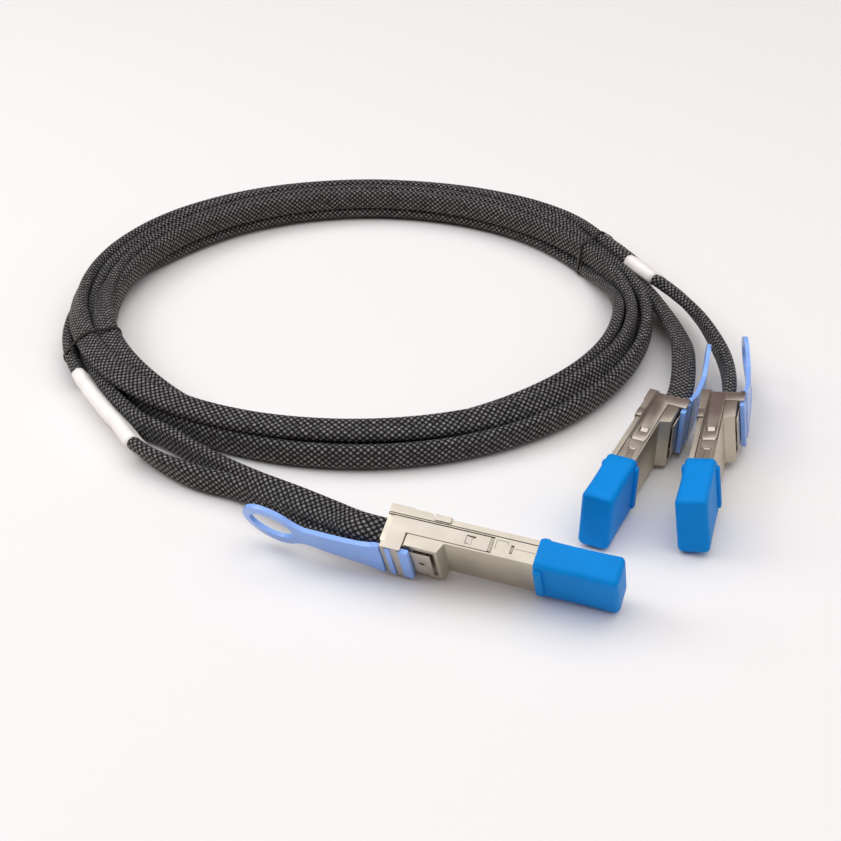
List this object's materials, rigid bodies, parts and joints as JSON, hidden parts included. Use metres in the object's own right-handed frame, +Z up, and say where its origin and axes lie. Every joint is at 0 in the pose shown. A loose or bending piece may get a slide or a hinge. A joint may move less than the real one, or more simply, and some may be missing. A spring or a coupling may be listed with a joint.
{
  "type": "direct attach splitter cable",
  "caption": "Network splitter cable: a metal plug feeds braided legs wound in a flat coil, each ending in a like plug. The plugs have blue pull tabs and dust caps.",
  "frame": {"origin": "on the surface that the cable lies on, midway between the outermost points of the three plugs", "axes": "+Z up; the picture looks along +Y from above, with +X to its right"},
  "size_m": [0.2702, 0.3277, 0.0236],
  "materials": {
    "shell_metal": "satin nickel plate on cast zinc",
    "spring_steel": "plain stamped stainless steel",
    "board_green": "solder mask on glass laminate",
    "chip_black": "moulded package",
    "comb_cream": "plain moulding",
    "bare_copper": "bare copper",
    "tab_blue": "soft smooth moulding",
    "cap_blue": "smooth soft rubber",
    "braid_black": "woven monofilament sleeve",
    "tie_black": "plain nylon",
    "label_white": "blank white film"
  },
  "bodies": {
    "root": {"base_shell_a": "shell_metal", "base_shell_b": "shell_metal", "base_shell_c": "shell_metal", "cable_clamp_a": "spring_steel", "cable_clamp_b": "spring_steel", "cable_clamp_c": "spring_steel", "cable_coil": "braid_black", "circuit_board_a": "board_green", "circuit_board_b": "board_green", "circuit_board_c": "board_green", "conductor_pairs_a": "bare_copper", "conductor_pairs_b": "bare_copper", "conductor_pairs_c": "bare_copper", "cover_shell_a": "shell_metal", "cover_shell_b": "shell_metal", "cover_shell_c": "shell_metal", "label_left": "label_white", "label_right": "label_white", "leg_tube_a1": "braid_black", "leg_tube_a2": "braid_black", "leg_tube_b": "braid_black", "leg_tube_c": "braid_black", "memory_chip_a": "chip_black", "memory_chip_b": "chip_black", "memory_chip_c": "chip_black", "return_spring_left_a": "spring_steel", "return_spring_left_b": "spring_steel", "return_spring_left_c": "spring_steel", "return_spring_right_a": "spring_steel", "return_spring_right_b": "spring_steel", "return_spring_right_c": "spring_steel", "shell_screw_left_a": "spring_steel", "shell_screw_left_b": "spring_steel", "shell_screw_left_c": "spring_steel", "shell_screw_right_a": "spring_steel", "shell_screw_right_b": "spring_steel", "shell_screw_right_c": "spring_steel", "shield_clip_a": "spring_steel", "shield_clip_b": "spring_steel", "shield_clip_c": "spring_steel", "tie_left": "tie_black", "tie_right": "tie_black", "wire_comb_a": "comb_cream", "wire_comb_b": "comb_cream", "wire_comb_c": "comb_cream"},
    "tab_a": {"latch_slider_a": "spring_steel", "pull_tab_a": "tab_blue"},
    "cap_a": {"dust_cap_a": "cap_blue"},
    "tab_b": {"latch_slider_b": "spring_steel", "pull_tab_b": "tab_blue"},
    "cap_b": {"dust_cap_b": "cap_blue"},
    "tab_c": {"latch_slider_c": "spring_steel", "pull_tab_c": "tab_blue"},
    "cap_c": {"dust_cap_c": "cap_blue"}
  },
  "joints": [
    {"name": "tab_pull_a", "type": "slide", "parent": "root", "child": "tab_a", "axis": [-0.9387, 0.3435, 0.0279], "range_m": [0, 0.0025], "stiffness_N_per_m": 600, "springref_m": -0.0015},
    {"name": "tab_pull_b", "type": "slide", "parent": "root", "child": "tab_b", "axis": [0.4131, 0.9107, 0], "range_m": [0, 0.0025], "stiffness_N_per_m": 600, "springref_m": -0.0015},
    {"name": "tab_pull_c", "type": "slide", "parent": "root", "child": "tab_c", "axis": [0.274, 0.9617, 0.0035], "range_m": [0, 0.0025], "stiffness_N_per_m": 600, "springref_m": -0.0015},
    {"name": "cap_lift_a", "type": "slide", "parent": "root", "child": "cap_a", "axis": [0.9387, -0.3435, -0.0279], "range_m": [0, 0.027]},
    {"name": "cap_lift_b", "type": "slide", "parent": "root", "child": "cap_b", "axis": [-0.4131, -0.9107, 0], "range_m": [0, 0.0205]},
    {"name": "cap_lift_c", "type": "slide", "parent": "root", "child": "cap_c", "axis": [-0.274, -0.9617, -0.0035], "range_m": [0, 0.027]}
  ]
}
